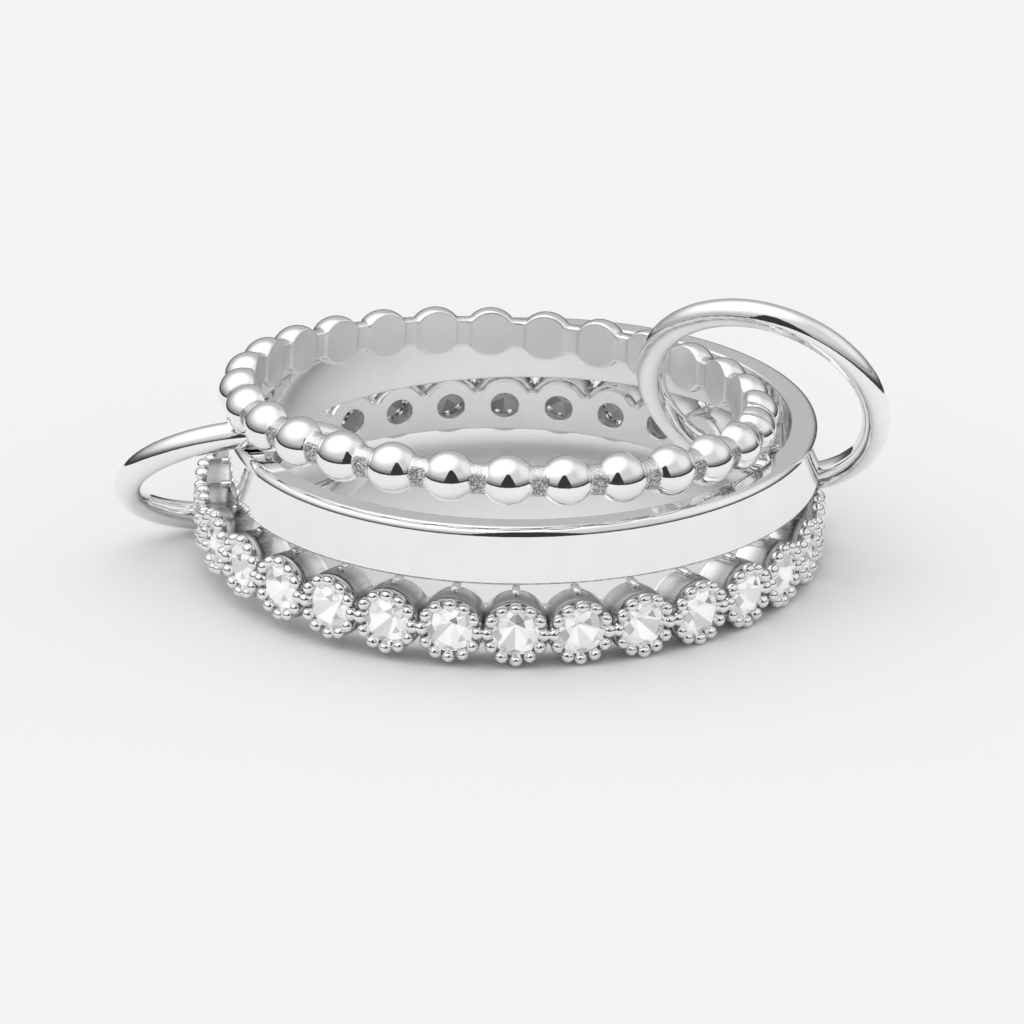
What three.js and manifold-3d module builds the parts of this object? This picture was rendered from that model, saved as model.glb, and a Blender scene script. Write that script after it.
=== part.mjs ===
// A stack of three silver finger rings that two round wire links join loosely.
// From the top down: a ring of beads, a plain flat band and a band of round stones.
// Millimetres, Z up. The camera side is -Y. The stack rests on the plane Z = 0.

import * as THREE from 'three';
import { mergeVertices } from 'three/addons/utils/BufferGeometryUtils.js';
import Module from 'manifold-3d';

const wasm = await Module();
wasm.setup();

// The finger size that all three rings share.
const fingerRadius = 8.6;

// Stone band: thirty round settings in a row, joined by a wall on the finger side.
const settingCount = 30;
const settingDepth = 1.62;
const haloRadius = 1.1;
const haloDepth = 0.3;
const haloSoftEdge = 0.1;
const haloGap = 0.04;
const wallThickness = 0.34;
const wallBottom = 0.26;
const wallTopAtStone = 1.98;
const wallTopBetween = 1.55;
const cupBackRadius = 0.82;
const cupSides = 12;
const holeWidth = 0.94;
const holeHeight = 0.82;
const firstStoneAngle = THREE.MathUtils.degToRad(1.15);

// Stone: a round brilliant with an eight-sided table.
const stoneRadius = 0.75;
const stoneGap = 0.04;
const tableShare = 0.56;
const crownShare = 0.3;
const girdleShare = 0.07;
const pavilionShare = 0.82;

// Plain band: a flat band with a softly rounded outer top edge.
const bandEase = 0.02;
const bandThickness = 0.9;
const bandHeight = 1.8;
const bandSoftEdge = 0.3;
const bandCrispEdge = 0.06;
const bandSegments = 54;

// Beaded ring: round beads on thick necks, cut flat on the finger side.
const beadCount = 28;
const beadRadius = 0.81;
const neckRadius = 0.5;
const beadRingInset = 0.38;
const beadCutDepth = 0.3;
const beadSides = 12;
const firstBeadAngle = THREE.MathUtils.degToRad(1.78);

// Links: both are bent from the same round wire to the same round shape.
const linkRadius = 3.77;
const wireRadius = 0.45;
const linkSegments = 30;
const wireSides = 8;

// What follows from those sizes
const haloTip = fingerRadius + settingDepth;
const bandInnerRadius = fingerRadius + bandEase;
const bandOuterRadius = bandInnerRadius + bandThickness;
const beadRingRadius = fingerRadius - beadRingInset;
const beadCutRadius = beadRingRadius - beadCutDepth;

// How the rings lie on one another: tilts about X and Y in degrees, and shifts of their middles.
const stoneTilt = { x: 2, y: 1.475 };
const bandTilt = { x: 0.45, y: -0.26 };
const beadTilt = { x: -3.98, y: 3.25 };
const bandShiftX = 0.466;
const bandShiftY = -1.017;
const beadShiftX = -0.306;
const beadShiftY = -2.136;

// The wire of the right link lies in a dip between two halos and carries the plain band.
const dipDepth = 0.575;
const wireSlack = 0.245;
const dipHeight = 2 * haloRadius - dipDepth;
const bandBottom = dipHeight + 2 * wireRadius + wireSlack;
const bandMiddle = bandBottom + bandHeight / 2;

// The beaded ring lies on the wire of the left link, just above the plain band.
const beadLift = 0.121;
const beadMiddle = bandBottom + bandHeight + beadLift + beadRadius;

// The left link stands on the plane of the stack, and its top lies just under the beaded ring.
// Its top is placed from the finger circle and from the middle of the beads.
const leftCompass = 100.57;
const leftTopInset = 0.538;
const leftTopY = -3.43;
const leftTopDrop = 0.492;

// The foot of the right link lies in the dip. The compass and rise of its axis are in degrees.
const rightCompass = -108.82;
const rightRise = -26.16;
const rightFootOutset = 0.124;
const rightFootY = 0.326;

const fullTurn = 2 * Math.PI;

const polishedSilver = () => new THREE.MeshStandardMaterial({ color: 0xd9dadc, roughness: 0.12, metalness: 1 });
const clearStone = () => new THREE.MeshStandardMaterial({ color: 0xf4f7fa, roughness: 0.03, metalness: 0 });

// Geometry helpers

// A closed surface from rows of points: the rows join end to end, and so does each row in itself.
function closedLoopSurface(rows) {
  const rowCount = rows.length;
  const columnCount = rows[0].length;
  const positions = rows.flat(2);
  const indices = [];
  for (let row = 0; row < rowCount; row += 1) {
    const nextRow = (row + 1) % rowCount;
    for (let column = 0; column < columnCount; column += 1) {
      const nextColumn = (column + 1) % columnCount;
      const a = row * columnCount + column;
      const b = nextRow * columnCount + column;
      const c = nextRow * columnCount + nextColumn;
      const d = row * columnCount + nextColumn;
      indices.push(a, b, c, a, c, d);
    }
  }
  const geometry = new THREE.BufferGeometry();
  geometry.setAttribute('position', new THREE.Float32BufferAttribute(positions, 3));
  geometry.setIndex(indices);
  return geometry;
}

function welded(geometry) {
  geometry.deleteAttribute('normal');
  geometry.deleteAttribute('uv');
  return mergeVertices(geometry, 1e-5);
}

function toSolid(geometry) {
  const clean = welded(geometry);
  const mesh = new wasm.Mesh({
    numProp: 3,
    vertProperties: Float32Array.from(clean.attributes.position.array),
    triVerts: Uint32Array.from(clean.index.array),
  });
  mesh.merge();
  return new wasm.Manifold(mesh);
}

function toGeometry(solid) {
  const mesh = solid.getMesh();
  const geometry = new THREE.BufferGeometry();
  geometry.setAttribute('position', new THREE.Float32BufferAttribute(mesh.vertProperties, 3));
  geometry.setIndex(Array.from(mesh.triVerts));
  return geometry;
}

// A direction on the ring's circle: angle 0 is the front, and it grows towards +X.
function ringDirection(angle) {
  return new THREE.Vector3(Math.sin(angle), -Math.cos(angle), 0);
}

// The turn about Z that takes +Y to that direction.
function turnOutward(angle) {
  return angle + Math.PI;
}

function radians(degrees) {
  return THREE.MathUtils.degToRad(degrees);
}

// Beaded ring

// Half widths of the beaded rod along one bead: a ball between two stretches of neck.
function beadProfile() {
  const neckStart = Math.sqrt(beadRadius ** 2 - neckRadius ** 2);
  const shares = [-1, -0.6, 0, 0.6, 1];
  return shares.map((share) => {
    const along = share * neckStart;
    return { along, radius: Math.sqrt(beadRadius ** 2 - along ** 2) };
  });
}

function makeBeadedRing() {
  const rows = [];
  for (let bead = 0; bead < beadCount; bead += 1) {
    const beadAngle = firstBeadAngle + (bead / beadCount) * fullTurn;
    for (const { along, radius } of beadProfile()) {
      const outward = ringDirection(beadAngle + along / beadRingRadius);
      const row = [];
      for (let side = 0; side < beadSides; side += 1) {
        const around = (side / beadSides) * fullTurn;
        const distance = Math.max(beadRingRadius + radius * Math.cos(around), beadCutRadius);
        row.push([outward.x * distance, outward.y * distance, radius * Math.sin(around)]);
      }
      rows.push(row);
    }
  }
  return closedLoopSurface(rows);
}

// Plain band

function makePlainBand() {
  const top = bandHeight / 2;
  const softMiddle = new THREE.Vector2(bandOuterRadius - bandSoftEdge, top - bandSoftEdge);
  const softArc = [0, 1 / 3, 2 / 3, 1].map((share) => {
    const angle = (share * Math.PI) / 2;
    const reach = new THREE.Vector2(Math.cos(angle), Math.sin(angle)).multiplyScalar(bandSoftEdge);
    return softMiddle.clone().add(reach);
  });
  const profile = [
    new THREE.Vector2(bandInnerRadius + bandCrispEdge, -top),
    new THREE.Vector2(bandOuterRadius - bandCrispEdge, -top),
    new THREE.Vector2(bandOuterRadius, -top + bandCrispEdge),
    ...softArc,
    new THREE.Vector2(bandInnerRadius + bandCrispEdge, top),
    new THREE.Vector2(bandInnerRadius, top - bandCrispEdge),
    new THREE.Vector2(bandInnerRadius, -top + bandCrispEdge),
  ];
  profile.push(profile[0].clone());
  const geometry = new THREE.LatheGeometry(profile, bandSegments);
  geometry.rotateX(Math.PI / 2);
  return welded(geometry);
}

// Stone band

const settingAngles = Array.from(
  { length: settingCount },
  (_, index) => firstStoneAngle + (index / settingCount) * fullTurn,
);

// The wall on the finger side. Its top edge is a row of low arches, one over each stone.
function makeInnerWall() {
  const stepsPerSetting = 2;
  const stepCount = settingCount * stepsPerSetting;
  const rows = [];
  for (let step = 0; step < stepCount; step += 1) {
    const angle = firstStoneAngle + (step / stepCount) * fullTurn;
    const arch = Math.abs(Math.cos(((step / stepsPerSetting) % 1) * Math.PI));
    const wallTop = THREE.MathUtils.lerp(wallTopBetween, wallTopAtStone, arch);
    const outward = ringDirection(angle);
    const corners = [
      [fingerRadius + wallThickness, wallBottom],
      [fingerRadius + wallThickness, wallTop],
      [fingerRadius, wallTop],
      [fingerRadius, wallBottom],
    ];
    rows.push(corners.map(([distance, height]) => [outward.x * distance, outward.y * distance, height]));
  }
  return toSolid(closedLoopSurface(rows));
}

// A setting: a cup that widens outward to a round halo, hollow from the stone's seat to its back.
function makeSetting() {
  const seatRadius = stoneRadius + stoneGap / Math.cos(Math.PI / cupSides);
  const hollowRadius = holeWidth / 2 + stoneGap;
  const back = fingerRadius + wallThickness / 2;
  const haloBack = haloTip - haloDepth;
  const profile = [
    new THREE.Vector2(hollowRadius, back),
    new THREE.Vector2(cupBackRadius, back),
    new THREE.Vector2(haloRadius, haloBack),
    new THREE.Vector2(haloRadius - haloSoftEdge, haloTip),
    new THREE.Vector2(seatRadius, haloTip),
    new THREE.Vector2(seatRadius, stoneReach() - stoneGap),
    new THREE.Vector2(hollowRadius, back),
  ];
  const setting = new THREE.LatheGeometry(profile, cupSides);
  const positions = setting.attributes.position;
  const widest = haloBack * Math.tan(Math.PI / settingCount) - haloGap / 2;
  for (let index = 0; index < positions.count; index += 1) {
    positions.setX(index, THREE.MathUtils.clamp(positions.getX(index), -widest, widest));
  }
  return setting;
}

// The oval hole through the wall behind a stone.
function makeWallHole() {
  const hole = new THREE.CylinderGeometry(holeWidth / 2, holeWidth / 2, 4 * wallThickness, cupSides);
  hole.scale(1, 1, holeHeight / holeWidth);
  hole.translate(0, fingerRadius, 0);
  return hole;
}

function atSetting(geometry, angle) {
  return geometry.clone().rotateZ(turnOutward(angle)).translate(0, 0, haloRadius);
}

function makeStoneBand() {
  const setting = makeSetting();
  const wallHole = makeWallHole();
  let band = makeInnerWall();
  for (const angle of settingAngles) {
    band = band.subtract(toSolid(atSetting(wallHole, angle)));
  }
  for (const angle of settingAngles) {
    band = band.add(toSolid(atSetting(setting, angle)));
  }
  return toGeometry(band);
}

// Stones

// Where the back of the girdle lies, measured outward from the ring's axis.
function stoneReach() {
  return haloTip - crownShare * stoneRadius - girdleShare * stoneRadius;
}

function makeStone() {
  const girdleBack = stoneReach();
  const girdleFront = girdleBack + girdleShare * stoneRadius;
  const profile = [
    new THREE.Vector2(0, girdleBack - pavilionShare * stoneRadius),
    new THREE.Vector2(stoneRadius, girdleBack),
    new THREE.Vector2(stoneRadius, girdleFront),
    new THREE.Vector2(tableShare * stoneRadius, girdleFront + crownShare * stoneRadius),
    new THREE.Vector2(0, girdleFront + crownShare * stoneRadius),
  ];
  return toGeometry(toSolid(new THREE.LatheGeometry(profile, cupSides)));
}

// Links

function makeLink() {
  return welded(new THREE.TorusGeometry(linkRadius, wireRadius, wireSides, linkSegments));
}

// Assembly

function makeMesh(name, geometry, material) {
  geometry.computeVertexNormals();
  const mesh = new THREE.Mesh(geometry, material);
  mesh.name = name;
  return mesh;
}

function makeRingGroup(tilt, x, y, z) {
  const group = new THREE.Group();
  group.rotation.set(radians(tilt.x), radians(tilt.y), 0, 'YXZ');
  group.position.set(x, y, z);
  return group;
}

// The direction in a link's plane that climbs most steeply.
function steepest(compass, rise) {
  const lean = Math.sin(radians(rise));
  return new THREE.Vector3(
    -lean * Math.cos(radians(compass)),
    -lean * Math.sin(radians(compass)),
    Math.cos(radians(rise)),
  );
}

function makeLinkMesh(name, compass, rise, middle) {
  const link = makeMesh(name, makeLink(), polishedSilver());
  const level = Math.cos(radians(rise));
  const axis = new THREE.Vector3(
    level * Math.cos(radians(compass)),
    level * Math.sin(radians(compass)),
    Math.sin(radians(rise)),
  );
  link.position.copy(middle);
  link.lookAt(axis.add(middle));
  return link;
}

const stoneRing = makeRingGroup(stoneTilt, 0, 0, 0);
stoneRing.add(makeMesh('stone_band', makeStoneBand(), polishedSilver()));
settingAngles.forEach((angle, index) => {
  const name = `stone_${String(index + 1).padStart(2, '0')}`;
  const stone = makeMesh(name, makeStone(), clearStone());
  stone.position.z = haloRadius;
  stone.rotation.z = turnOutward(angle);
  stoneRing.add(stone);
});

const bandRing = makeRingGroup(bandTilt, bandShiftX, bandShiftY, bandMiddle);
bandRing.add(makeMesh('plain_band', makePlainBand(), polishedSilver()));

const beadRing = makeRingGroup(beadTilt, beadShiftX, beadShiftY, beadMiddle);
beadRing.add(makeMesh('beaded_ring', makeBeadedRing(), polishedSilver()));

// The left link leans so that it spans from the plane to its top, whatever its radius.
const standTilt = Math.hypot(radians(stoneTilt.x), radians(stoneTilt.y));
const leftFootHeight = wireRadius - haloTip * standTilt;
const leftTop = new THREE.Vector3(leftTopInset - fingerRadius, leftTopY, beadMiddle - leftTopDrop);
const leftSpan = leftTop.z - leftFootHeight;
const leftRise = THREE.MathUtils.radToDeg(Math.acos(leftSpan / (2 * linkRadius)));
const leftMiddle = leftTop.clone().addScaledVector(steepest(leftCompass, leftRise), -linkRadius);
const linkLeft = makeLinkMesh('link_left', leftCompass, leftRise, leftMiddle);

const rightFootX = fingerRadius + rightFootOutset;
const rightFoot = new THREE.Vector3(rightFootX, rightFootY, dipHeight + wireRadius);
const rightMiddle = rightFoot.clone().addScaledVector(steepest(rightCompass, rightRise), linkRadius);
const linkRight = makeLinkMesh('link_right', rightCompass, rightRise, rightMiddle);

// The stack's origin is the middle of its box on the plane that it rests on.
const stack = new THREE.Group();
stack.name = 'linked_stack';
stack.add(stoneRing, bandRing, beadRing, linkLeft, linkRight);
stack.updateMatrixWorld(true);
const box = new THREE.Box3().setFromObject(stack, true);
stack.position.set(-(box.min.x + box.max.x) / 2, -(box.min.y + box.max.y) / 2, -box.min.z);
stack.updateMatrixWorld(true);

export default stack;
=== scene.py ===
# %% [markdown]
# # Three stacked silver rings held together by two wire links
# The real object is three finger rings that lie on one another: a ring of beads on top, a plain
# flat band in the middle, and a band of round stones in beaded settings below. Two round wire
# links hold them loosely together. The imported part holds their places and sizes. This script puts
# finer pieces in the same places, gives them silver and clear stone, and lights them softly.

import bmesh
import bpy
import numpy as np
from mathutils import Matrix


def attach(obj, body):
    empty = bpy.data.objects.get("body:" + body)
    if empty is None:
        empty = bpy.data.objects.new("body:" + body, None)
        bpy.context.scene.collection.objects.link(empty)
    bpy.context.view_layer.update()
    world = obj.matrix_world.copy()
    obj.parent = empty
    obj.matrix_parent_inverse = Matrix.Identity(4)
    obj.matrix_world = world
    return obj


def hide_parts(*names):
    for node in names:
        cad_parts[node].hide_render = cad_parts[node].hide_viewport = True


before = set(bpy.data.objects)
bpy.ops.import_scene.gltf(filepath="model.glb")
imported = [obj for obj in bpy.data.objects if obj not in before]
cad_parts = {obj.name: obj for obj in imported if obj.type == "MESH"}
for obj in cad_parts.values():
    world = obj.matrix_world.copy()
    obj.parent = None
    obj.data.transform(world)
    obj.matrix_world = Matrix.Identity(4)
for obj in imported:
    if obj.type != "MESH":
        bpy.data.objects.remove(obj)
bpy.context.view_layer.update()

# %% [markdown]
# ## Where the rings lie
# Each ring is easiest to describe lying level with its middle at zero, so its points are worked
# out that way in millimetres. A ring is then tilted about X, tilted about Y and moved, all in
# the points themselves. The object stays at the origin, unturned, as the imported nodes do.

# %% Lay a ring in its place
MM = 0.001
STACK_SHIFT = np.array([0.2674, 0.4631, 0.4359])
# Each place is the tilt about X, the tilt about Y in degrees, and the middle in millimetres.
STONE_BAND_PLACE = (2.0, 1.475, (0, 0, 0))
PLAIN_BAND_PLACE = (0.45, -0.26, (0.466, -1.017, 3.670))
BEADED_RING_PLACE = (-3.98, 3.25, (-0.306, -2.136, 5.501))


def lay(points, tilt_x, tilt_y, middle):
    """Turns points about X, then about Y, and moves them to the ring's middle in the stack."""
    ax, ay = np.radians(tilt_x), np.radians(tilt_y)
    about_x = np.array([[1, 0, 0], [0, np.cos(ax), -np.sin(ax)], [0, np.sin(ax), np.cos(ax)]])
    about_y = np.array([[np.cos(ay), 0, np.sin(ay)], [0, 1, 0], [-np.sin(ay), 0, np.cos(ay)]])
    return points @ (about_y @ about_x).T + np.array(middle) + STACK_SHIFT


print("the plain band's middle lies", PLAIN_BAND_PLACE[2][2], "mm above the stone band's")

# %% [markdown]
# ## From a grid of points to a mesh
# Every new piece is a surface with two parameters, so its points form a grid. Neighbouring
# points of the grid make a four-cornered face, and the grid may join up with itself in either
# direction. Points that fall together, at a ball's pole or where two pieces meet, are welded
# afterwards, which also turns a face with two equal corners into a triangle.

# %% Number the faces of a grid
def grid_faces(rows, columns, join_rows=False, join_columns=False):
    """Corner numbers of the faces between neighbouring points of a grid, row by row."""
    row = np.arange(rows if join_rows else rows - 1)[:, None]
    column = np.arange(columns if join_columns else columns - 1)[None, :]
    next_row, next_column = (row + 1) % rows, (column + 1) % columns
    corners = (row * columns + column, next_row * columns + column,
               next_row * columns + next_column, row * columns + next_column)
    return np.stack(corners, axis=-1).reshape(-1, 4)


def many(faces, copies, points_each):
    """The same faces for each of several copies whose points follow one another."""
    return (faces[None] + (np.arange(copies) * points_each)[:, None, None]).reshape(-1, 4)


print("a grid of 3 by 4 points has", len(grid_faces(3, 4)), "faces, joined it has",
      len(grid_faces(3, 4, True, True)))

# %% Build meshes from points and faces
WELD_DISTANCE = 1e-7


def clean_mesh(mesh, weld=True, turn_outward=True):
    """Welds points that fall together, and turns all faces outward."""
    work = bmesh.new()
    work.from_mesh(mesh)
    if weld:
        bmesh.ops.remove_doubles(work, verts=work.verts, dist=WELD_DISTANCE)
    if turn_outward:
        bmesh.ops.recalc_face_normals(work, faces=work.faces)
    work.to_mesh(mesh)
    work.free()


def add_object(name, data):
    """Puts a mesh or a camera into the scene as an object."""
    made = bpy.data.objects.new(name, data)
    bpy.context.scene.collection.objects.link(made)
    return made


def make_piece(name, points, faces, material, sharp_from=None):
    """Puts points in millimetres and faces into a welded, smooth mesh with faces outward."""
    mesh = bpy.data.meshes.new(name)
    points = np.asarray(points, dtype=np.float64).reshape(-1, 3) * MM
    mesh.vertices.add(len(points))
    mesh.vertices.foreach_set("co", points.astype(np.float32).ravel())
    mesh.loops.add(faces.size)
    mesh.loops.foreach_set("vertex_index", faces.astype(np.int32).ravel())
    mesh.polygons.add(len(faces))
    mesh.polygons.foreach_set("loop_start", np.arange(0, faces.size, 4, dtype=np.int32))
    mesh.update(calc_edges=True)
    mesh.validate()
    clean_mesh(mesh)
    mesh.polygons.foreach_set("use_smooth", np.ones(len(mesh.polygons), dtype=bool))
    if sharp_from is not None:
        mesh.set_sharp_from_angle(angle=np.radians(sharp_from))
    mesh.materials.append(material)
    piece = add_object(name, mesh)
    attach(piece, "root")
    print(name, "has", len(mesh.polygons), "faces")
    return piece


# %% [markdown]
# ## Small helpers for nodes
# A material is a chain of nodes, and the same few steps come back in each: noise, a number
# stored in the mesh, a sum or product, a change of range, a mix and a bump. Each helper adds one
# such node and hands back its output, so that a chain reads like a formula.

# %% Helpers for nodes
MIX_SOCKETS = {"FLOAT": (2, 3, 0), "RGBA": (6, 7, 2)}


def give(tree, socket, value):
    """Links a socket to another node's output, or sets it to a plain value."""
    if isinstance(value, bpy.types.NodeSocket):
        tree.links.new(value, socket)
    else:
        socket.default_value = value


def add_noise(tree, scale, detail=2.0):
    """Noise from 0 to 1 on Object coordinates, so that it sits still on the piece."""
    place, noise = tree.nodes.new("ShaderNodeTexCoord"), tree.nodes.new("ShaderNodeTexNoise")
    noise.inputs["Detail"].default_value = detail
    give(tree, noise.inputs["Scale"], scale)
    tree.links.new(place.outputs["Object"], noise.inputs["Vector"])
    return noise.outputs["Fac"]


def stored(tree, name):
    """The number that a mesh stores under this name, and 0 where it stores none."""
    node = tree.nodes.new("ShaderNodeAttribute")
    node.attribute_name = name
    return node.outputs["Fac"]


def calculate(tree, operation, *values):
    """One sum, product or the like of numbers and outputs."""
    node = tree.nodes.new("ShaderNodeMath")
    node.operation = operation
    for socket, value in zip(node.inputs, values):
        give(tree, socket, value)
    return node.outputs["Value"]


def remap(tree, value, start, end, low, high, curve="LINEAR"):
    """Carries the range from start to end over to low to high, and holds it beyond both ends."""
    node = tree.nodes.new("ShaderNodeMapRange")
    node.interpolation_type = curve
    for key, number in zip(("From Min", "From Max", "To Min", "To Max"), (start, end, low, high)):
        node.inputs[key].default_value = number
    tree.links.new(value, node.inputs["Value"])
    return node.outputs["Result"]


def blend(tree, share, first, second, kind="FLOAT"):
    """First where the share is 0 and second where it is 1. Each kind has its own sockets."""
    node = tree.nodes.new("ShaderNodeMix")
    node.data_type = kind
    first_socket, second_socket, result = MIX_SOCKETS[kind]
    give(tree, node.inputs[0], share)
    give(tree, node.inputs[first_socket], first)
    give(tree, node.inputs[second_socket], second)
    return node.outputs[result]


def add_bump(tree, height, strength, distance, below=None):
    """Tilts the normal by the slope of a height, on top of the bump below if there is one."""
    node = tree.nodes.new("ShaderNodeBump")
    node.inputs["Distance"].default_value = distance
    give(tree, node.inputs["Strength"], strength)
    give(tree, node.inputs["Height"], height)
    if below is not None:
        give(tree, node.inputs["Normal"], below)
    return node.outputs["Normal"]


def new_material(name):
    """A material, its node tree and the principled shader in it."""
    material = bpy.data.materials.new(name)
    material.use_nodes = True
    return material, material.node_tree, material.node_tree.nodes["Principled BSDF"]


print("kinds of mix:", list(MIX_SOCKETS))

# %% [markdown]
# ## The silver skin
# Polished silver is never quite even. Polishing leaves soft waves that bend the reflections,
# and handling leaves faint dull patches. Both come from noise on Object coordinates, so they
# sit still on the metal. Three masks stored in the meshes tell where the metal is not polished
# and where shade is painted. The grain mask is rough and sparkles, and its dark speckle also
# paints shade where it lies on lower sides and edges. The hollow mask paints shade in the
# settings' hollows and makes them a little rougher. The satin mask is brushed. A mesh that has
# no such mask counts as polished. All the silver materials share these effects, so they are
# one node group that puts out a colour, a roughness and a normal.

# %% Node group for the silver skin
DULL_SILVER, BRIGHT_SILVER = (0.86, 0.862, 0.866, 1), (0.965, 0.965, 0.962, 1)
FINE_SCALE, PATCH_SCALE, SPECK_SCALE = 6000.0, 900.0, 15000.0
WAVE_DETAIL, FINE_DETAIL, PATCH_DETAIL = 1.0, 3.0, 4.0
PATCH_RANGE, PATCH_SPREAD = (0.35, 0.7), (0.7, 1.5)
SPECK_RANGE, SPECK_TONES, HOLLOW_SHADE_TONE = (0.4, 0.62), (0.28, 0.95), 0.36
GRAIN_ROUGHNESS, HOLLOW_ROUGHNESS, SATIN_ROUGHNESS = 0.2, 0.1, 0.17
WAVE_DISTANCE, FINE_DISTANCE, PIT_DISTANCE = 0.001, 0.0001, 0.0001
SKIN_INPUTS = {"Wave Scale": 300.0, "Wave Height": 0.1, "Fine Height": 0.02, "Roughness": 0.05,
               "Tone": 1.0}
SKIN_OUTPUTS = {"Color": "NodeSocketColor", "Roughness": "NodeSocketFloat",
                "Normal": "NodeSocketVector"}


def make_silver_skin():
    """Colour: patches x wear and painted shade. Roughness: patches + wear. Normal: waves, then fine
    dents, pits.
    """
    tree = bpy.data.node_groups.new("silver skin", "ShaderNodeTree")
    for name, value in SKIN_INPUTS.items():
        socket = tree.interface.new_socket(name, in_out="INPUT", socket_type="NodeSocketFloat")
        socket.default_value = value
    for name, kind in SKIN_OUTPUTS.items():
        tree.interface.new_socket(name, in_out="OUTPUT", socket_type=kind)
    given = tree.nodes.new("NodeGroupInput").outputs
    out = tree.nodes.new("NodeGroupOutput").inputs
    patches, specks = add_noise(tree, PATCH_SCALE, PATCH_DETAIL), add_noise(tree, SPECK_SCALE)
    grain_and_shade, hollow_shade, satin = (stored(tree, name) for name in ("grain_and_shade", "hollow_shade", "satin"))

    # The grain mask darkens the colour with speckle. This is real grain, and also painted shade
    # where the mask lies.
    speck_tone = remap(tree, specks, *SPECK_RANGE, *SPECK_TONES)
    brightness = calculate(tree, "MULTIPLY", given["Tone"], blend(tree, grain_and_shade, 1.0, speck_tone))
    # Painted shade: the hollow mask darkens the colour to its tone.
    brightness = calculate(tree, "MULTIPLY", brightness, blend(tree, hollow_shade, 1.0, HOLLOW_SHADE_TONE))
    shade = tree.nodes.new("ShaderNodeVectorMath")
    shade.operation = "SCALE"
    give(tree, shade.inputs[0], blend(tree, patches, DULL_SILVER, BRIGHT_SILVER, "RGBA"))
    give(tree, shade.inputs["Scale"], brightness)
    give(tree, out["Color"], shade.outputs["Vector"])

    spread = remap(tree, patches, *PATCH_RANGE, *PATCH_SPREAD)
    roughness = calculate(tree, "MULTIPLY", given["Roughness"], spread)
    for mask, extra in ((grain_and_shade, GRAIN_ROUGHNESS), (hollow_shade, HOLLOW_ROUGHNESS),
                        (satin, SATIN_ROUGHNESS)):
        roughness = calculate(tree, "MULTIPLY_ADD", mask, extra, roughness)
    give(tree, out["Roughness"], roughness)

    waves = add_noise(tree, given["Wave Scale"], WAVE_DETAIL)
    fine = add_noise(tree, FINE_SCALE, FINE_DETAIL)
    bump = add_bump(tree, waves, given["Wave Height"], WAVE_DISTANCE)
    bump = add_bump(tree, fine, given["Fine Height"], FINE_DISTANCE, bump)
    pits = calculate(tree, "MULTIPLY", specks, grain_and_shade)
    give(tree, out["Normal"], add_bump(tree, pits, 1.0, PIT_DISTANCE, bump))
    return tree


silver_skin = make_silver_skin()
print("silver skin has", len(silver_skin.nodes), "nodes")

# %% [markdown]
# ## Silver finishes
# The beads, the plain band and the links are mirror polished. The settings are too small to be
# polished as well, so their silver is a little softer and greyer. Each finish is a metal that
# takes everything from the skin and only sets its numbers.

# %% Make the silver materials
def make_silver(name, roughness, wave_height, fine_height=0.02, wave_scale=300.0, tone=1.0):
    """A metal whose colour, roughness and normal come from the shared skin."""
    material, tree, shader = new_material(name)
    shader.inputs["Metallic"].default_value = 1.0
    skin = tree.nodes.new("ShaderNodeGroup")
    skin.node_tree = silver_skin
    for key, value in (("Roughness", roughness), ("Wave Height", wave_height), ("Tone", tone),
                       ("Fine Height", fine_height), ("Wave Scale", wave_scale)):
        skin.inputs[key].default_value = value
    for key, socket in (("Color", "Base Color"), ("Roughness", "Roughness"), ("Normal", "Normal")):
        tree.links.new(skin.outputs[key], shader.inputs[socket])
    return material


def store_mask(piece, name, values):
    """Stores one number from 0 to 1 for every point of a mesh, for the silver skin to read."""
    layer = piece.data.attributes.new(name, "FLOAT", "POINT")
    values = np.broadcast_to(values, len(piece.data.vertices))
    layer.data.foreach_set("value", values.astype(np.float32))


beaded_silver = make_silver("polished beads", 0.05, 0.02)
band_silver = make_silver("polished band", 0.035, 0.03, wave_scale=220.0)
wire_silver = make_silver("polished wire", 0.05, 0.09, wave_scale=420.0)
wall_silver = make_silver("wall silver", 0.16, 0.05, wave_scale=600.0)
setting_silver = make_silver("setting silver", 0.13, 0.05, fine_height=0.04, wave_scale=1200.0,
                             tone=0.9)
grain_silver = make_silver("granule silver", 0.07, 0.05, fine_height=0.03, wave_scale=1500.0)
print("the skin is used by", silver_skin.users, "silver finishes")

# %% [markdown]
# ## The beaded ring
# On the real ring the balls and the necks between them are one casting, and the finger side is
# turned flat. One swept surface gives the same: a round rod runs round the ring, its half width
# swells to a ball and narrows to a neck, and points that would reach past the finger side are
# held at it. A soft maximum instead of a hard one leaves a small rounded rim there.

# %% Helpers for rings
def ramp(value, start, end):
    """0 up to the start, 1 from the end on, and a straight rise between them."""
    return np.clip((value - start) / (end - start), 0, 1)


def soft_max(value, floor, softness):
    """The larger of two values, with the corner between them rounded over the softness."""
    return floor + softness * np.logaddexp(0, (value - floor) / softness)


def directions(angle):
    """Unit vectors out from a ring's middle: angle 0 is the front and it grows towards +X."""
    return np.stack([np.sin(angle), -np.cos(angle), np.zeros_like(angle)], axis=-1)


print("the ring's front points to", directions(np.array([0.0])).tolist())

# %% Work out the beaded ring
BEADS, FIRST_BEAD = 28, np.radians(1.78)
BEAD_RING_RADIUS, BEAD_CUT_RADIUS = 8.22, 7.92
BEAD_RADIUS, BEAD_HALF_LENGTH = 0.81, 0.87
NECK_RADIUS, NECK_DROP = 0.5, 0.05
NECK_ROUNDING, NECK_LIFT, RIM_ROUNDING = 0.018, 0.012, 0.02
BALL_STEPS, NECK_STEPS, ROD_SIDES = 29, 9, 80

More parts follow.
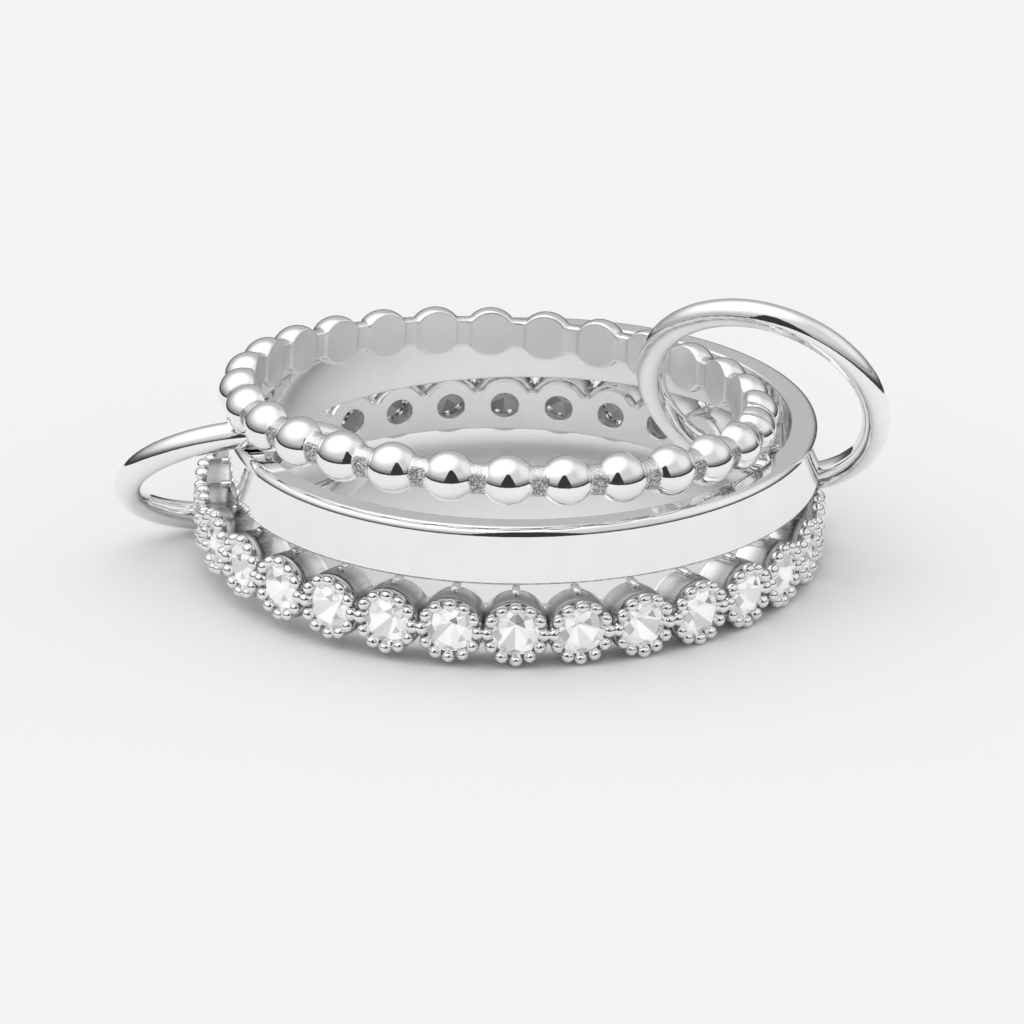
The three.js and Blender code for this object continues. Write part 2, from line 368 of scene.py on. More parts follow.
pitch = 2 * np.pi * BEAD_RING_RADIUS / BEADS
neck_start = BEAD_HALF_LENGTH * np.sqrt(1 - (NECK_RADIUS / BEAD_RADIUS) ** 2)
ball_turn = np.linspace(-1, 1, BALL_STEPS) * np.arcsin(neck_start / BEAD_HALF_LENGTH)
ball_part = BEAD_HALF_LENGTH * np.sin(ball_turn)
neck_part = np.linspace(neck_start, pitch - neck_start, NECK_STEPS)[1:-1]
along_one = np.concatenate([ball_part, neck_part])
along = (np.arange(BEADS)[:, None] * pitch + along_one).ravel()
from_bead = np.tile(np.where(along_one > pitch / 2, along_one - pitch, along_one), BEADS)
ball = BEAD_RADIUS * np.sqrt(np.maximum(1 - (from_bead / BEAD_HALF_LENGTH) ** 2, 0))
# The soft maximum lifts its floor a little, which the lift takes off beforehand.
half_width = soft_max(ball, NECK_RADIUS - NECK_LIFT, NECK_ROUNDING)[:, None]
print("one bead every", round(pitch, 3), "mm, and each neck starts", round(neck_start, 3),
      "mm from a bead's middle")

# %% Make the beaded ring
# The masks fade in over these distances, before and after a neck's start and past the cut.
NECK_FADE, FLAT_FADE = (0.02, 0.03), (0.02, 0.06)
LOWER_SIDE_TURN, LOWER_SIDE_EDGE, GRAIN_AND_SHADE_ABOVE = np.radians(33), 0.06, 0.3

around = np.linspace(0, 2 * np.pi, ROD_SIDES, endpoint=False)
outward = directions(FIRST_BEAD + along / BEAD_RING_RADIUS)
neck_mask = ramp(np.abs(from_bead), neck_start - NECK_FADE[0], neck_start + NECK_FADE[1])
neck_mask = neck_mask[:, None]
cut = BEAD_CUT_RADIUS + NECK_DROP * neck_mask
distance = soft_max(BEAD_RING_RADIUS + half_width * np.cos(around), cut, RIM_ROUNDING)
bead_points = outward[:, None, :] * distance[..., None]
bead_points[..., 2] = half_width * np.sin(around)
beaded_ring = make_piece("beaded_ring_fine", lay(bead_points, *BEADED_RING_PLACE),
                         grid_faces(len(along), ROD_SIDES, True, True), beaded_silver)
finger_side = 1 - ramp(distance, cut + FLAT_FADE[0], cut + FLAT_FADE[1])
# Painted shade: the lower side of each neck gets the whole grain mask and its top only a share, so
# the necks are darker below.
shaded_lower_side = 1 - ramp(np.sin(around - LOWER_SIDE_TURN), -LOWER_SIDE_EDGE, LOWER_SIDE_EDGE)
neck_grain_and_shade = neck_mask * (GRAIN_AND_SHADE_ABOVE + (1 - GRAIN_AND_SHADE_ABOVE) * shaded_lower_side) * (1 - finger_side)
store_mask(beaded_ring, "satin", finger_side.ravel())
store_mask(beaded_ring, "grain_and_shade", neck_grain_and_shade.ravel())
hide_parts("beaded_ring")

# %% [markdown]
# ## The plain band
# A band turned on a lathe is a profile carried round a circle. The profile is a rectangle whose
# outer top edge is softly rounded, while the other three are only broken. Each corner is a
# quarter circle with its own radius, so the profile is one array of points. The lower outer
# edge carries the grain mask: it is rougher there, and its darker speckle paints a dark line
# along that edge as a painted reflection.

# %% Helpers for the band
def rounded_rectangle(left, right, bottom, top, radii, steps=10):
    """Quarter circles at the corners, in turn from lower left anticlockwise, as one closed line."""
    middles = np.array([[left + radii[0], bottom + radii[0]], [right - radii[1], bottom + radii[1]],
                        [right - radii[2], top - radii[2]], [left + radii[3], top - radii[3]]])
    starts = np.radians([180, 270, 0, 90])
    turn = starts[:, None] + np.linspace(0, np.pi / 2, steps)[None, :]
    arc = np.stack([np.cos(turn), np.sin(turn)], axis=-1) * np.array(radii)[:, None, None]
    return (middles[:, None, :] + arc).reshape(-1, 2)


def refine(line, longest):
    """Puts even steps into the long sides of a closed line."""
    ends = np.roll(line, -1, axis=0)
    lengths = np.linalg.norm(ends - line, axis=1)
    parts = [line[i] + (ends[i] - line[i]) * np.linspace(0, 1, n, endpoint=False)[:, None]
             for i, n in enumerate(np.maximum(1, np.ceil(lengths / longest)).astype(int))]
    return np.concatenate(parts)


def carried_round(profile, steps):
    """Each profile point (distance, height) goes round the ring's axis in even steps."""
    outward = directions(np.linspace(0, 2 * np.pi, steps, endpoint=False))
    points = outward[:, None, :] * profile[None, :, 0, None]
    points[..., 2] = profile[None, :, 1]
    return points


# %% Make the plain band
BAND_INNER, BAND_OUTER, BAND_HEIGHT = 8.62, 9.52, 1.8
BAND_SKIRT = 0.1
BAND_CORNERS = (0.07, 0.07, 0.3, 0.09)
BAND_STEPS, PROFILE_STEP = 256, 0.06
EDGE_REACH = 0.06

band_top, band_foot = BAND_HEIGHT / 2, -BAND_HEIGHT / 2 - BAND_SKIRT
band_profile = refine(rounded_rectangle(BAND_INNER, BAND_OUTER, band_foot, band_top,
                                        BAND_CORNERS), PROFILE_STEP)
band_points = carried_round(band_profile, BAND_STEPS)
plain_band = make_piece("plain_band_fine", lay(band_points, *PLAIN_BAND_PLACE),
                        grid_faces(BAND_STEPS, len(band_profile), True, True), band_silver)
from_edge = np.hypot(band_profile[:, 0] - BAND_OUTER, band_profile[:, 1] - band_foot)
# Painted reflection: the grain mask darkens the lower outer edge into a dark line.
store_mask(plain_band, "grain_and_shade", np.tile(from_edge < EDGE_REACH, BAND_STEPS))
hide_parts("plain_band")
print("the band's profile has", len(band_profile), "points")

# %% [markdown]
# ## The links
# A link is round wire bent to a circle: a torus. Its points need only two angles, and the
# circle's axis, given as a compass direction and a rise, says how the link leans.

# %% Work out the links
LINK_RADIUS, WIRE_RADIUS = 3.77, 0.45
LINK_STEPS, WIRE_SIDES = 192, 32
# For each link its middle in millimetres, and the compass direction and rise of its axis.
LINKS = {"link_left": ((-8.579, -0.657, 2.508), 100.57, 48.44),
         "link_right": ((8.188, -1.247, 5.459), -108.82, -26.16)}


def link_points(middle, compass, rise):
    """A small circle carried round a large one that lies square to the axis."""
    compass, rise = np.radians(compass), np.radians(rise)
    level = np.cos(rise)
    axis = np.array([level * np.cos(compass), level * np.sin(compass), np.sin(rise)])
    first = np.cross([0, 0, 1], axis)
    first /= np.linalg.norm(first)
    second = np.cross(axis, first)
    turn = np.linspace(0, 2 * np.pi, LINK_STEPS, endpoint=False)[:, None, None]
    side = np.linspace(0, 2 * np.pi, WIRE_SIDES, endpoint=False)[None, :, None]
    spoke = first * np.cos(turn) + second * np.sin(turn)
    points = spoke * (LINK_RADIUS + WIRE_RADIUS * np.cos(side)) + axis * WIRE_RADIUS * np.sin(side)
    return points + np.array(middle) + STACK_SHIFT


for name, lie in LINKS.items():
    link = make_piece(name + "_fine", link_points(*lie),
                      grid_faces(LINK_STEPS, WIRE_SIDES, True, True), wire_silver)
    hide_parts(name)

# %% [markdown]
# ## The stone band: its inner wall
# The finger side of the stone band is a thin wall with an oval hole behind every stone and a
# scalloped top edge. For one stone, a closed line runs round the wall's piece and another round
# the hole, and the wall is the surface between them. Thirty such pieces, each turned a step
# further, are welded into one wall.

# %% Work out one piece of the inner wall
SETTINGS, FIRST_STONE = 30, np.radians(1.15)
SETTING_HEIGHT = 1.1
WALL_INNER, WALL_OUTER = 8.6, 8.94
WALL_BOTTOM, WALL_VALLEY, WALL_ARCH = 0.26, 1.55, 0.9
WALL_ROUNDING = 0.03
HOLE_ACROSS, HOLE_UP = 0.45, 0.42
EDGE_STEPS, SHEET_STEPS = 25, 7


def wall_outline(steps):
    """Across (as an angle) and height round one piece of wall: top, right, bottom and left."""
    edge = np.pi / SETTINGS
    level = np.linspace(-edge, edge, steps)
    arch = SETTING_HEIGHT + np.sqrt(np.maximum(WALL_ARCH**2 - (level * WALL_INNER) ** 2, 0))
    top = np.stack([level, soft_max(arch, WALL_VALLEY, WALL_ROUNDING)], axis=-1)
    down = np.linspace(top[-1, 1], WALL_BOTTOM, steps // 2)[1:-1]
    right = np.stack([np.full_like(down, edge), down], axis=-1)
    bottom = np.stack([level[::-1], np.full(steps, WALL_BOTTOM)], axis=-1)
    left = np.stack([np.full_like(down, -edge), down[::-1]], axis=-1)
    is_rim = np.repeat([True, False, True, False], [steps, len(down), steps, len(down)])
    return np.concatenate([top, right, bottom, left]), is_rim


outline, is_rim = wall_outline(EDGE_STEPS)
bearing = np.arctan2(outline[:, 1] - SETTING_HEIGHT, outline[:, 0] * WALL_INNER)
hole = np.stack([HOLE_ACROSS / WALL_INNER * np.cos(bearing),
                 SETTING_HEIGHT + HOLE_UP * np.sin(bearing)], axis=-1)
share = np.linspace(0, 1, SHEET_STEPS)[None, :, None]
sheet = hole[:, None, :] * (1 - share) + outline[:, None, :] * share
flat = np.concatenate([sheet, sheet[:, ::-1]], axis=1)
# Pieces of wall meet at their sides, so only the top and bottom rims get faces.
wall_faces = grid_faces(*flat.shape[:2], True, True).reshape(*flat.shape[:2], 4)
keep = np.ones(flat.shape[:2], dtype=bool)
keep[:, SHEET_STEPS - 1] = is_rim & np.roll(is_rim, -1)
print("one piece of wall has", keep.sum(), "faces")

# %% Make the inner wall
WALL_SHARP, EDGE_FROM = 40, 50
EDGE_WIDTH, EDGE_SEGMENTS = 0.04, 2

setting_angles = FIRST_STONE + np.arange(SETTINGS) * 2 * np.pi / SETTINGS
wall_distance = np.repeat([WALL_INNER, WALL_OUTER], SHEET_STEPS)[None, None, :]
wall_angle = setting_angles[:, None, None] + flat[None, ..., 0]
wall_points = directions(wall_angle) * wall_distance[..., None]
wall_points[..., 2] = flat[None, ..., 1]
inner_wall = make_piece("stone_band_wall", lay(wall_points, *STONE_BAND_PLACE),
                        many(wall_faces[keep], SETTINGS, flat.shape[0] * flat.shape[1]),
                        wall_silver, sharp_from=WALL_SHARP)
soften = inner_wall.modifiers.new("broken edges", "BEVEL")
soften.width = EDGE_WIDTH * MM
soften.segments = EDGE_SEGMENTS
soften.limit_method = "ANGLE"
soften.angle_limit = np.radians(EDGE_FROM)

# %% [markdown]
# ## The stone band: its cups
# Each stone sits in a cup that looks like a short barrel. From the front its rim forms a smooth
# hood over the stone. The cup is a profile carried round the stone's own axis, which points
# straight out from the ring. A small rib on top of each cup joins its hood to the wall.

# %% Helpers for the settings
# A quarter turn further on, the same directions point across each setting.
setting_out = directions(setting_angles)[:, None, :]
setting_across = directions(setting_angles + np.pi / 2)[:, None, :]
UP = np.array([0, 0, 1.0])


def at_settings(points):
    """Turns points (across, up, out) to every setting, the same or each setting's own list."""
    return (setting_out * points[..., 2, None] + setting_across * points[..., 0, None]
            + UP * (SETTING_HEIGHT + points[..., 1, None]))


def rounded_block(sizes, squareness, rows, columns):
    """A ball whose sines and cosines are raised to a power, which squares it off below one."""
    def swell(value):
        return np.sign(value) * np.abs(value) ** squareness
    rise = np.linspace(-np.pi / 2, np.pi / 2, rows)[:, None]
    turn = np.linspace(0, 2 * np.pi, columns, endpoint=False)[None, :]
    x = swell(np.cos(rise)) * swell(np.cos(turn))
    y = swell(np.cos(rise)) * swell(np.sin(turn))
    return np.stack([x, y, swell(np.sin(rise)) + 0 * turn], axis=-1) * np.array(sizes)


print("the first setting points to", setting_out[0, 0].round(3))

# %% Make the cups
# Each row is a distance from the stone's axis and a distance out from the ring's axis.
CUP_PROFILE = np.array([
    [0.47, 8.80], [0.52, 8.95], [0.62, 9.35], [0.70, 9.58], [0.745, 9.68], [0.765, 9.76],
    [0.79, 9.815], [0.84, 9.855], [0.90, 9.87], [0.96, 9.86], [1.01, 9.83], [1.04, 9.785],
    [1.057, 9.73], [1.065, 9.65], [1.065, 9.50], [1.06, 9.32], [1.05, 9.15], [1.035, 8.98],
    [1.01, 8.82],
])
CUP_SIDES, CUP_SHARP = 48, 50
LIP_FADE, RIM_FADE, RIM_SHADE = (1.0, 1.04), (0.76, 0.81), 0.7
HOLLOW_START, HOLLOW_DEPTH, HOLLOW_LIMITS = 9.0, 0.5, (0.1, 0.9)
JOINT_FADE, JOINT_DEPTH = (0.9, 0.96), (9.3, 9.5)

cup_turn = np.linspace(0, 2 * np.pi, CUP_SIDES, endpoint=False)[:, None]
from_axis, out_by = CUP_PROFILE[None, :, 0], CUP_PROFILE[None, :, 1]
cup = np.stack([from_axis * np.cos(cup_turn), from_axis * np.sin(cup_turn),
                out_by + 0 * cup_turn], axis=-1)
cups = make_piece("stone_band_cups", lay(at_settings(cup.reshape(-1, 3)), *STONE_BAND_PLACE),
                  many(grid_faces(*cup.shape[:2], True, True), SETTINGS, cup[..., 0].size),
                  setting_silver, sharp_from=CUP_SHARP)
# Painted shade: the cup's outer flanks behind the lip, and its rim, get the hollow mask. It darkens
# them more towards the lip and makes them a little rougher.
behind_lip = ramp(from_axis, *LIP_FADE)
on_rim = ramp(from_axis, *RIM_FADE) * RIM_SHADE
deep = np.clip((out_by - HOLLOW_START) / HOLLOW_DEPTH, *HOLLOW_LIMITS)
hollow_shade = np.maximum(behind_lip, on_rim) * deep
at_joint = ramp(np.abs(np.cos(cup_turn)), *JOINT_FADE)
joint_grain = at_joint * behind_lip * ramp(out_by, *JOINT_DEPTH)
store_mask(cups, "hollow_shade", np.tile((hollow_shade + 0 * cup_turn).ravel(), SETTINGS))
store_mask(cups, "grain_and_shade", np.tile(joint_grain.ravel(), SETTINGS))

# %% Make the ribs
RIB_SIZES, RIB_SQUARENESS = (0.15, 0.13, 0.34), 0.55
RIB_PLACE, RIB_GRID = np.array([0, 1.08, 9.12]), (7, 12)

rib = rounded_block(RIB_SIZES, RIB_SQUARENESS, *RIB_GRID) + RIB_PLACE
ribs = make_piece("stone_band_ribs", lay(at_settings(rib.reshape(-1, 3)), *STONE_BAND_PLACE),
                  many(grid_faces(*RIB_GRID, False, True), SETTINGS, rib[..., 0].size),
                  setting_silver)

# %% [markdown]
# ## The granules round the stones
# Twelve small balls stand round each stone and hold it. They were raised by hand, so no two are
# quite the same: each has a slightly different size and place. The two at the sides are longer
# and meet those of the next stone. There are hundreds, so each has only a few dozen faces.

# %% Work out the granules
GRANULES, GRANULE_SEED = 12, 11
GRANULE_RADIUS, GRANULE_CIRCLE, SIDE_CIRCLE = 0.205, 0.893, 0.9
GRANULE_OUT = 10.01
SIDE_STRETCH, TANGENT_STRETCH, OUT_STRETCH = 1.12, 1.2, 1.15
SMALLEST_SHARE, WANDER = 0.92, 0.02

chance = np.random.default_rng(GRANULE_SEED)
bearing = np.arange(GRANULES) * 2 * np.pi / GRANULES
at_side = np.abs(np.cos(bearing)) > 0.99
size = GRANULE_RADIUS * chance.uniform(SMALLEST_SHARE, 1.0, (SETTINGS, GRANULES))
angle = bearing[None, :] + chance.normal(0, WANDER, (SETTINGS, GRANULES)) * ~at_side
radial = np.stack([np.cos(angle), np.sin(angle), 0 * angle], axis=-1)
tangent = np.stack([-np.sin(angle), np.cos(angle), 0 * angle], axis=-1)
circle = np.where(at_side, SIDE_CIRCLE, GRANULE_CIRCLE)[None, :, None]
middle = radial * circle + np.array([0, 0, GRANULE_OUT])
print("granules are", size.min().round(3), "to", size.max().round(3), "mm in radius")


# %% Make the granules
BALL_GRID = (7, 10)


def stretch(direction, length, amount):
    """Each granule's direction, times its own length there, times the ball's share of it."""
    return direction[..., None, None, :] * length[..., None, None, None] * amount[..., None]


unit_ball = rounded_block((1, 1, 1), 1.0, *BALL_GRID)
reach = (stretch(radial, size * np.where(at_side, SIDE_STRETCH, 1.0), unit_ball[..., 0])
         + stretch(tangent, size * TANGENT_STRETCH, unit_ball[..., 1])
         + stretch(np.broadcast_to(UP, radial.shape), size * OUT_STRETCH, unit_ball[..., 2]))
granule_points = (middle[:, :, None, None, :] + reach).reshape(SETTINGS, -1, 3)
granules = make_piece("stone_band_granules", lay(at_settings(granule_points), *STONE_BAND_PLACE),
                      many(grid_faces(*BALL_GRID, False, True), SETTINGS * GRANULES,
                           unit_ball[..., 0].size), grain_silver)
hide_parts("stone_band")
print(SETTINGS * GRANULES, "granules")

# %% [markdown]
# ## Clear stone
# The stones are colourless and bright. In a real one the facets underneath throw the light back,
# and from the front they show as eight wedges, some white and some grey. Full refraction would
# need very many samples for so small a stone. So the top is a partly clear mirror, clearer on
# the table than on the small facets, with each small facet's mirror painted lighter or darker.
# The facets underneath are pale, each painted with its own brightness for the light and dark it
# reflects. A faint painted glow of their own stands for the light that they throw back to the
# front, and only a little of it leaves behind. Both numbers are stored in the mesh for each facet.

# %% Make the stone materials
HAZE_SCALE, HAZE_ROUGHNESS = 2500.0, 0.02
LOWER_ROUGHNESS = 0.25
THROWN_BACK, SHARE_BEHIND = 0.37, 0.3


def make_stone_material(name, roughness):
    """A principled shader with worn polish, whose colour is the painted light stored for each
    facet.
    """
    material, tree, shader = new_material(name)
    haze = add_noise(tree, HAZE_SCALE)
    worn = remap(tree, haze, 0, 1, roughness, roughness + HAZE_ROUGHNESS)
    give(tree, shader.inputs["Roughness"], worn)
    give(tree, shader.inputs["Base Color"], stored(tree, "painted_facet_light"))
    return material, tree, shader


clear_stone, tree, shader = make_stone_material("clear stone", 0.0)
shader.inputs["Metallic"].default_value = 1.0
give(tree, shader.inputs["Alpha"], stored(tree, "facet_shine"))

lower_facets, tree, shader = make_stone_material("lower facets", LOWER_ROUGHNESS)
# Painted glow: the lower facets give off a faint light of their own, weaker from behind.
shader.inputs["Emission Strength"].default_value = THROWN_BACK
inside = tree.nodes.new("ShaderNodeNewGeometry").outputs["Backfacing"]
to_front = remap(tree, inside, 0, 1, SHARE_BEHIND, 1)
glow = calculate(tree, "MULTIPLY", stored(tree, "painted_facet_light"), to_front)
give(tree, shader.inputs["Emission Color"], glow)
print("made", clear_stone.name, "and", lower_facets.name)

# %% [markdown]
# ## The cut stones
# A small round stone has an eight-sided table, kite facets round it with small triangles
# between them, and eight long facets that meet at a point below. Each corner lies on a circle
# at its own height, so a few rings of corners and a list of faces describe the whole stone.

# %% Cut one stone
STONE_RADIUS, STONE_TABLE = 0.75, 10.22
# Heights and widths as shares of the stone's radius.
TABLE_SHARE, MIDDLE_SHARE = 0.56, 0.8
CROWN_SHARE, GIRDLE_SHARE, PAVILION_SHARE = 0.3, 0.07, 0.82


def circle_of(angle, share, height):
    """Corners on one circle about the stone's axis."""
    return np.stack([share * np.cos(angle), share * np.sin(angle), height + 0 * angle], axis=-1)


def cut_stone():
    """Corners (across, up, out) and faces. Kite corners are kept on the plane of their facet."""
    eighth = np.arange(8) * np.pi / 4
    sixteenth = np.arange(16) * np.pi / 8
    kite = CROWN_SHARE * (1 - MIDDLE_SHARE * np.cos(np.pi / 8)) / (1 - TABLE_SHARE)
    corners = np.concatenate([
        circle_of(eighth, TABLE_SHARE, CROWN_SHARE),
        circle_of(eighth + np.pi / 8, MIDDLE_SHARE, kite),
        circle_of(sixteenth, 1.0, 0.0), circle_of(sixteenth, 1.0, -GIRDLE_SHARE),
        [[0, 0, -GIRDLE_SHARE - PAVILION_SHARE]]]) * STONE_RADIUS
    corners[:, 2] += STONE_TABLE - CROWN_SHARE * STONE_RADIUS
    table, middle, upper, lower, point = 0, 8, 16, 32, 48
    faces = [list(range(table, table + 8))]
    for k in range(8):
        after, before = (k + 1) % 8, (k - 1) % 8
        faces.append([table + after, table + k, middle + k])
        faces.append([table + k, middle + before, upper + 2 * k, middle + k])
        faces.append([middle + k, upper + 2 * k, upper + 2 * k + 1])
        faces.append([middle + k, upper + 2 * k + 1, upper + (2 * k + 2) % 16])
        faces.append([point, lower + 2 * k, lower + 2 * k + 1, lower + (2 * k + 2) % 16])
    for k in range(16):
        faces.append([upper + k, lower + k, lower + (k + 1) % 16, upper + (k + 1) % 16])
    return corners, faces


stone_corners, stone_faces = cut_stone()
print("each stone has", len(stone_faces), "facets")

# %% [markdown]
# ## Set the stones
# Every stone is cut alike. What differs is which of its wedges are painted white and which grey,
# as painted reflection, so each stone gets the same row of tones, rolled on by a few wedges and
# changed a little.

# %% Set thirty stones
# Painted reflections: how bright each wedge underneath looks, and how bright each small facet's
# mirror is.
PAINTED_WEDGE_LIGHT = np.array([1.0, 0.62, 0.95, 0.76, 1.0, 0.6, 0.94, 0.84])
WEDGE_ROLL, WEDGE_CHANGE = 3, 0.95
PAINTED_SIDE_LIGHT = (1.0, 0.45, 1.0, 0.9, 0.5, 1.0, 0.75)
TABLE_SHINE, SIDE_SHINE = 0.08, (0.6, 0.1, 0.72, 0.25)


def make_stone(index, corners, faces):
    """One stone as an object of its own, with flat facets turned outward."""
    mesh = bpy.data.meshes.new(f"cut_stone_{index + 1:02d}")
    mesh.from_pydata((corners * MM).tolist(), [], faces)
    clean_mesh(mesh, weld=False)
    mesh.materials.append(clear_stone)
    mesh.materials.append(lower_facets)
    is_lower = np.array([face[0] == len(corners) - 1 for face in faces])
    mesh.polygons.foreach_set("material_index", is_lower.astype(np.int32))
    tone, shine = np.resize(PAINTED_SIDE_LIGHT, len(faces)), np.resize(SIDE_SHINE, len(faces))
    change = chance.uniform(WEDGE_CHANGE, 1, len(PAINTED_WEDGE_LIGHT))
    tone[is_lower] = np.roll(PAINTED_WEDGE_LIGHT, index * WEDGE_ROLL) * change
    shine[0] = TABLE_SHINE
    for name, values in (("painted_facet_light", tone), ("facet_shine", shine)):
        layer = mesh.attributes.new(name, "FLOAT", "FACE")
        layer.data.foreach_set("value", values.astype(np.float32))
    stone = add_object(mesh.name, mesh)
    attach(stone, "root")
    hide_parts(f"stone_{index + 1:02d}")


set_corners = lay(at_settings(stone_corners), *STONE_BAND_PLACE)
for index in range(SETTINGS):
    make_stone(index, set_corners[index], stone_faces)
print("set", SETTINGS, "stones")

# %% [markdown]
# ## Floor
# The piece lies on a plain white floor. A large disc with a faint unevenness is enough.

# %% Lay the floor
FLOOR_RINGS = np.array([0.0, 60.0, 240.0, 900.0, 4000.0])[:, None]
FLOOR_SIDES = 96
FLOOR_TONES = (0.955, 0.955, 0.953, 1), (0.965, 0.965, 0.965, 1)
MOTTLE_SCALE, FLOOR_ROUGHNESS, FLOOR_SPECULAR = 60.0, 0.9, 0.1


def make_floor():
    """Points on rings round the origin, joined to a disc whose faces look up."""
    turn = np.linspace(0, 2 * np.pi, FLOOR_SIDES, endpoint=False)
    points = np.stack([FLOOR_RINGS * np.cos(turn), FLOOR_RINGS * np.sin(turn),
                       0 * FLOOR_RINGS * turn], axis=-1)
    faces = grid_faces(len(FLOOR_RINGS), FLOOR_SIDES, False, True)[:, ::-1]
    mesh = bpy.data.meshes.new("floor")
    mesh.from_pydata((points.reshape(-1, 3) * MM).tolist(), [], faces.tolist())
    clean_mesh(mesh, turn_outward=False)
    material, tree, shader = new_material("white floor")
    shader.inputs["Roughness"].default_value = FLOOR_ROUGHNESS
    shader.inputs["Specular IOR Level"].default_value = FLOOR_SPECULAR
    pale = blend(tree, add_noise(tree, MOTTLE_SCALE), *FLOOR_TONES, "RGBA")
    give(tree, shader.inputs["Base Color"], pale)
    mesh.materials.append(material)
    floor = add_object("floor", mesh)
    return floor


floor = make_floor()
print("the floor is", round(floor.dimensions.x, 1), "m across")

# %% [markdown]
# ## Dark cards for the mirror
# Polished silver shows whatever stands round it. In a studio, black cards are put near a piece
# so that its edges get a dark line. Here a low dark strip stands round the set, and one tapered
# card in front. The cards thin out towards a given height, so the dark line fades upward. Only
# reflections see them: they throw no shadow and the camera looks past them.

# %% Stand the cards
STRIP_DISTANCE, STRIP_FOOT, STRIP_HEIGHT, STRIP_SIDES = 36, 0.1, 14.0, 64
# A look is how dark a card is, up to what height it is solid, and where it is gone.
STRIP_LOOK = (0.05, 2.0, 12.0)
TAPERED_CORNERS = [[-13.5, -35.5, 0.2], [15.5, -35.5, 0.2], [3.5, -34, 34], [-1.5, -34, 34]]
TAPERED_LOOK = (0.04, 30.0, 34.0)


def make_card(name, points, faces, dark, solid_to, gone_at):
    """A dark surface that is solid up to one height in millimetres and gone at another."""
    mesh = bpy.data.meshes.new(name)
    mesh.from_pydata((np.asarray(points) * MM).tolist(), [], faces)
    material, tree, _ = new_material(name)
    nodes, links = tree.nodes, tree.links
    glow = nodes.new("ShaderNodeEmission")
    glow.inputs["Color"].default_value = (dark, dark, dark, 1)
    place, parts = nodes.new("ShaderNodeTexCoord"), nodes.new("ShaderNodeSeparateXYZ")
    links.new(place.outputs["Object"], parts.inputs["Vector"])
    gone = remap(tree, parts.outputs["Z"], solid_to * MM, gone_at * MM, 0, 1, "SMOOTHSTEP")
    clear, mixed = nodes.new("ShaderNodeBsdfTransparent"), nodes.new("ShaderNodeMixShader")
    links.new(gone, mixed.inputs["Fac"])
    links.new(glow.outputs["Emission"], mixed.inputs[1])
    links.new(clear.outputs["BSDF"], mixed.inputs[2])
    links.new(mixed.outputs["Shader"], nodes["Material Output"].inputs["Surface"])
    mesh.materials.append(material)
    card = add_object(name, mesh)
    card.visible_camera = False
    card.visible_diffuse = False
    card.visible_transmission = False
    card.visible_shadow = False


turn = np.linspace(0, 2 * np.pi, STRIP_SIDES, endpoint=False)
low = np.stack([STRIP_DISTANCE * np.cos(turn), STRIP_DISTANCE * np.sin(turn),
                0 * turn + STRIP_FOOT], axis=-1)
make_card("low dark strip", np.concatenate([low, low + UP * STRIP_HEIGHT]),
          grid_faces(2, STRIP_SIDES, False, True).tolist(), *STRIP_LOOK)
make_card("tapered card", TAPERED_CORNERS, [[0, 1, 2, 3]], *TAPERED_LOOK)
print("two dark cards stand outside the picture")

# %% [markdown]
# ## Light
# The light is a white dome: grey near the horizon, with one large soft light overhead to the
# left and a small one to the right. Each light is a round patch of sky whose edge fades, made
# from the angle between the ray and the light's direction. A third patch takes light away at
# the back. The whole is then scaled so that the floor comes out at the wanted white, which
# needs only the sky's mean over directions that the floor sees.

# %% Work out the sky's mean
SKY_LOW, SKY_HIGH, SKY_FULL_HEIGHT = 0.52, 0.82, 0.35
# Each patch is a direction, the cosines where it is full and where it ends, and a strength.
SKY_PATCHES = (((-0.34, -0.02, 0.94), 1.0, 0.5, 0.8), ((0.84, 0.1, 0.53), 0.99, 0.8, 0.25),
               ((0.1, 1.0, 0.2), 0.95, 0.35, -0.2))
FLOOR_WHITE, FLOOR_SHARE = 0.905, 0.96


def unit(aim):
    """The same direction with length one."""
    return np.array(aim) / np.linalg.norm(aim)


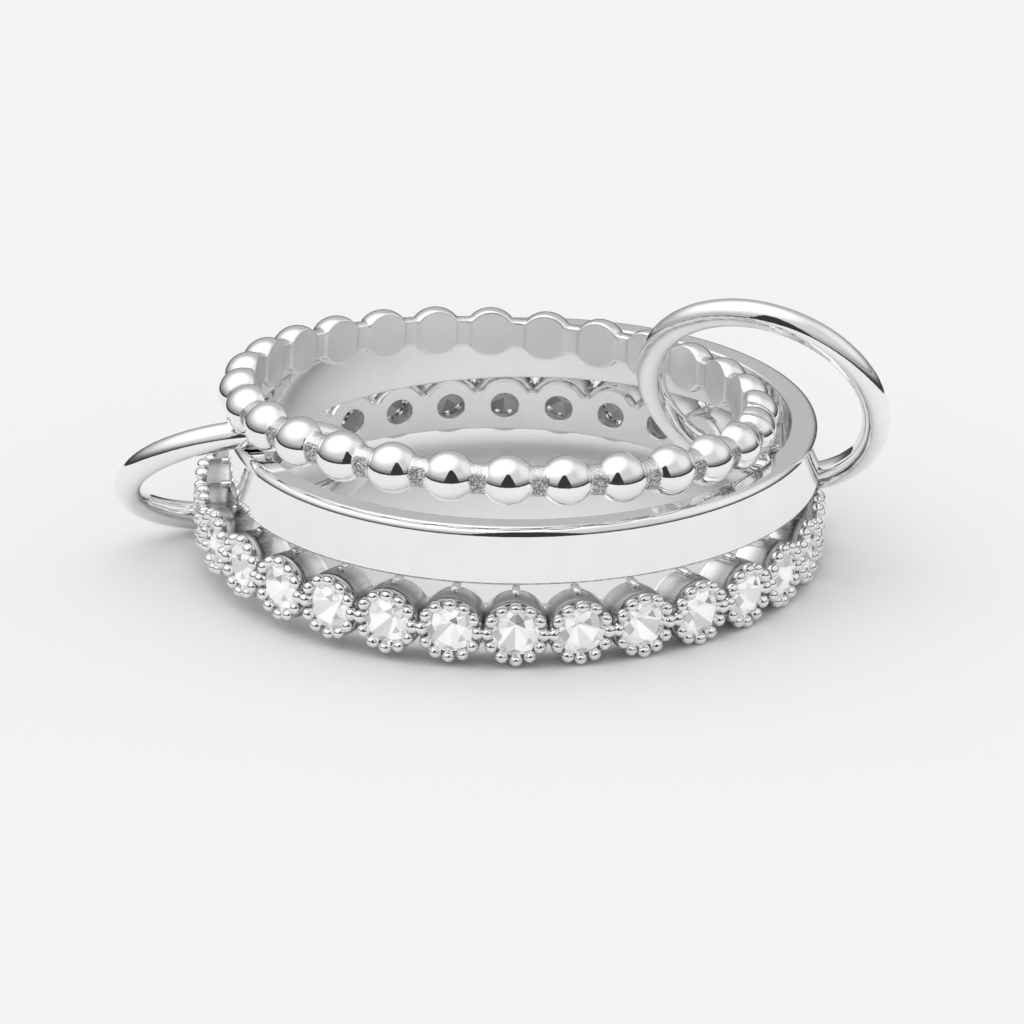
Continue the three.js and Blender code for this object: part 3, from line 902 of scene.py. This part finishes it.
def sky_mean(steps=240):
    """Mean sky brightness as the level floor sees it: even steps of height squared and compass."""
    height = np.sqrt((np.arange(steps) + 0.5) / steps)[:, None]
    compass = ((np.arange(steps) + 0.5) / steps * 2 * np.pi)[None, :]
    level = np.sqrt(1 - height**2)
    rays = np.stack([level * np.cos(compass), level * np.sin(compass), height + 0 * compass], -1)
    sky = SKY_LOW + (SKY_HIGH - SKY_LOW) * ramp(rays[..., 2], 0, SKY_FULL_HEIGHT)
    for aim, full, end, strength in SKY_PATCHES:
        fade = ramp(rays @ unit(aim), end, full)
        sky = sky + strength * fade**2 * (3 - 2 * fade)
    return float(sky.mean())


print("the sky's mean is", round(sky_mean(), 3), "before it is scaled")


# %% Light the piece
def make_sky():
    """Sky brightness: a ramp with height plus the soft patches, all times one scale."""
    world = bpy.data.worlds.new("studio light")
    bpy.context.scene.world = world
    world.use_nodes = True
    tree = world.node_tree
    ray = tree.nodes.new("ShaderNodeTexCoord").outputs["Generated"]
    parts = tree.nodes.new("ShaderNodeSeparateXYZ")
    tree.links.new(ray, parts.inputs["Vector"])
    total = remap(tree, parts.outputs["Z"], 0, SKY_FULL_HEIGHT, SKY_LOW, SKY_HIGH)
    for aim, full, end, strength in SKY_PATCHES:
        dot = tree.nodes.new("ShaderNodeVectorMath")
        dot.operation = "DOT_PRODUCT"
        dot.inputs[1].default_value = unit(aim)
        tree.links.new(ray, dot.inputs[0])
        patch = remap(tree, dot.outputs["Value"], end, full, 0, strength, "SMOOTHSTEP")
        total = calculate(tree, "ADD", total, patch)
    scale = FLOOR_WHITE / (FLOOR_SHARE * sky_mean())
    background = tree.nodes["Background"]
    background.inputs["Color"].default_value = (1, 1, 1, 1)
    give(tree, background.inputs["Strength"], calculate(tree, "MULTIPLY", total, scale))
    return scale


print("the sky is scaled by", round(make_sky(), 3))
bpy.context.scene.view_settings.view_transform = "Standard"

# %% [markdown]
# ## Camera
# A long lens from far off keeps the rings nearly free of perspective, as in the photograph.

# %% Place the camera
LENS_LENGTH, SENSOR_WIDTH = 324.81, 36
CAMERA_PLACE, CAMERA_TILT = (0.0003714, -0.27885, 0.11084), 68.6

lens = bpy.data.cameras.new("camera")
lens.sensor_width = SENSOR_WIDTH
lens.lens = LENS_LENGTH
camera = add_object("camera", lens)
camera.location = CAMERA_PLACE
camera.rotation_euler = (np.radians(CAMERA_TILT), 0, 0)
bpy.context.scene.camera = camera
print("the camera looks down by", round(90 - CAMERA_TILT, 1), "degrees")
